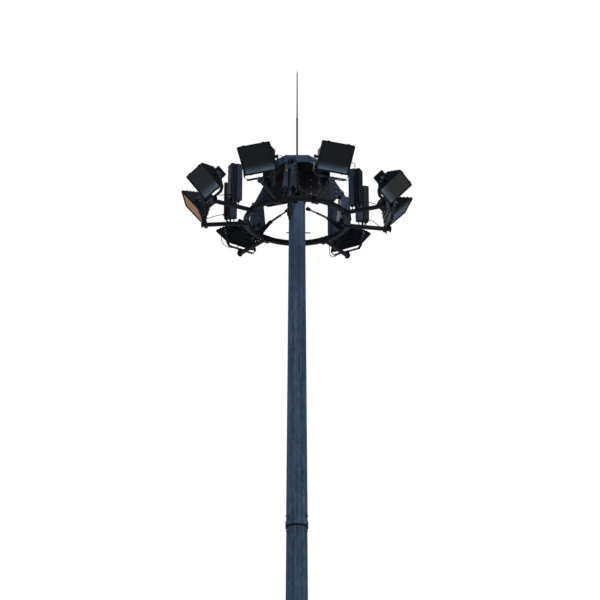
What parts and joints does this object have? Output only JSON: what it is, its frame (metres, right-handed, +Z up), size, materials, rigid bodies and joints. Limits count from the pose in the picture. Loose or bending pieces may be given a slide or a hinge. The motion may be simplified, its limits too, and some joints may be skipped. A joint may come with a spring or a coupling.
{
  "type": "high mast floodlight tower",
  "caption": "Tall tapered lighting mast with a hooded head and a lowering ring of square floodlights, gear boxes and guide arms.",
  "frame": {"origin": "centre of the base flange's underside, on the foundation", "axes": "+Z up along the mast, -Y towards the front, where the mast's door is round to the +X side"},
  "size_m": [4.156, 3.9228, 21.69],
  "materials": {
    "galvanised": "dull hot-dip galvanised steel",
    "mast_paint": "weathered blue-grey paint",
    "trunk_dark": "dark, unpainted steel in the shade of the hood",
    "sheave_dark": "greased cast iron",
    "wire_rope": "greased wire rope",
    "hood_grey": "light blue-grey sheet",
    "rod_metal": "weathered steel",
    "carriage_dark": "dark grey-blue paint, semi-matt",
    "yoke_dark": "dark painted flat steel",
    "box_dark": "dark painted sheet",
    "channel_grey": "light sheet, weathered",
    "cable_black": "black sheathed cable",
    "lamp_dark": "dark die-cast aluminium, powder coated",
    "lamp_glass": "toughened front glass"
  },
  "bodies": {
    "mast": {"base_flange": "galvanised", "base_gussets": "galvanised", "mast_lower_section": "mast_paint", "mast_middle_section": "mast_paint", "mast_upper_section": "mast_paint", "door_frame": "mast_paint", "door_leaf": "mast_paint", "head_trunk": "trunk_dark", "head_arms": "galvanised", "docking_guides": "galvanised", "rope_sheaves": "sheave_dark", "suspension_ropes": "wire_rope", "hood": "hood_grey", "hood_soffit": "trunk_dark", "lightning_rod": "rod_metal", "stay_bar": "rod_metal"},
    "carriage": {"carriage_ring": "carriage_dark", "lamp_arms": "carriage_dark", "lamp_yokes": "yoke_dark", "gear_boxes": "box_dark", "gear_channels": "channel_grey", "lamp_leads": "cable_black", "docking_posts": "galvanised", "supply_plug": "cable_black"},
    "lamp_1": {"lamp_1_housing": "lamp_dark", "lamp_1_glass": "lamp_glass"},
    "lamp_2": {"lamp_2_housing": "lamp_dark", "lamp_2_glass": "lamp_glass"},
    "lamp_3": {"lamp_3_housing": "lamp_dark", "lamp_3_glass": "lamp_glass"},
    "lamp_4": {"lamp_4_housing": "lamp_dark", "lamp_4_glass": "lamp_glass"},
    "lamp_5": {"lamp_5_housing": "lamp_dark", "lamp_5_glass": "lamp_glass"},
    "lamp_6": {"lamp_6_housing": "lamp_dark", "lamp_6_glass": "lamp_glass"},
    "lamp_7": {"lamp_7_housing": "lamp_dark", "lamp_7_glass": "lamp_glass"},
    "lamp_8": {"lamp_8_housing": "lamp_dark", "lamp_8_glass": "lamp_glass"},
    "guide_1": {"guide_arm_1": "carriage_dark"},
    "guide_2": {"guide_arm_2": "carriage_dark"},
    "guide_3": {"guide_arm_3": "carriage_dark"}
  },
  "joints": [
    {"name": "carriage_lower", "type": "slide", "parent": "mast", "child": "carriage", "axis": [0, 0, -1], "range_m": [0, 16.9], "deforming": ["suspension_ropes"]},
    {"name": "lamp_1_tilt", "type": "hinge", "parent": "carriage", "child": "lamp_1", "pos_m": [-0.63771, -1.61893, 18.985], "axis": [0.9304, -0.3665, 0], "range_deg": [-30, 30]},
    {"name": "lamp_2_tilt", "type": "hinge", "parent": "carriage", "child": "lamp_2", "pos_m": [-1.52184, -0.84357, 18.985], "axis": [0.4848, -0.8746, 0], "range_deg": [-30, 30]},
    {"name": "lamp_3_tilt", "type": "hinge", "parent": "carriage", "child": "lamp_3", "pos_m": [-1.73338, 0.15165, 18.985], "axis": [-0.0872, -0.9962, 0], "range_deg": [-30, 30]},
    {"name": "lamp_4_tilt", "type": "hinge", "parent": "carriage", "child": "lamp_4", "pos_m": [-1.07125, 1.37114, 18.985], "axis": [-0.788, -0.6157, 0], "range_deg": [-30, 30]},
    {"name": "lamp_5_tilt", "type": "hinge", "parent": "carriage", "child": "lamp_5", "pos_m": [0.94767, 1.45929, 18.985], "axis": [-0.8387, 0.5446, 0], "range_deg": [-30, 30]},
    {"name": "lamp_6_tilt", "type": "hinge", "parent": "carriage", "child": "lamp_6", "pos_m": [1.70803, 0.33201, 18.985], "axis": [-0.1908, 0.9816, 0], "range_deg": [-30, 30]},
    {"name": "lamp_7_tilt", "type": "hinge", "parent": "carriage", "child": "lamp_7", "pos_m": [1.6133, -0.65182, 18.985], "axis": [0.3746, 0.9272, 0], "range_deg": [-30, 30]},
    {"name": "lamp_8_tilt", "type": "hinge", "parent": "carriage", "child": "lamp_8", "pos_m": [0.60936, -1.62981, 18.985], "axis": [0.9367, 0.3502, 0], "range_deg": [-30, 30]},
    {"name": "guide_1_swing", "type": "hinge", "parent": "carriage", "child": "guide_1", "pos_m": [-0.0835, -0.59416, 18.77], "axis": [0.9903, -0.1392, 0], "range_deg": [0, 39.5]},
    {"name": "guide_2_swing", "type": "hinge", "parent": "carriage", "child": "guide_2", "pos_m": [0.55631, 0.22476, 18.77], "axis": [-0.3746, 0.9272, 0], "range_deg": [0, 39.5]},
    {"name": "guide_3_swing", "type": "hinge", "parent": "carriage", "child": "guide_3", "pos_m": [-0.47281, 0.3694, 18.77], "axis": [-0.6157, -0.788, 0], "range_deg": [0, 39.5]}
  ],
  "couplings": [
    {"joint": "guide_1_swing", "follows": "carriage_lower", "rad_per_m": 0.039244},
    {"joint": "guide_2_swing", "follows": "carriage_lower", "rad_per_m": 0.039244},
    {"joint": "guide_3_swing", "follows": "carriage_lower", "rad_per_m": 0.039244}
  ]
}
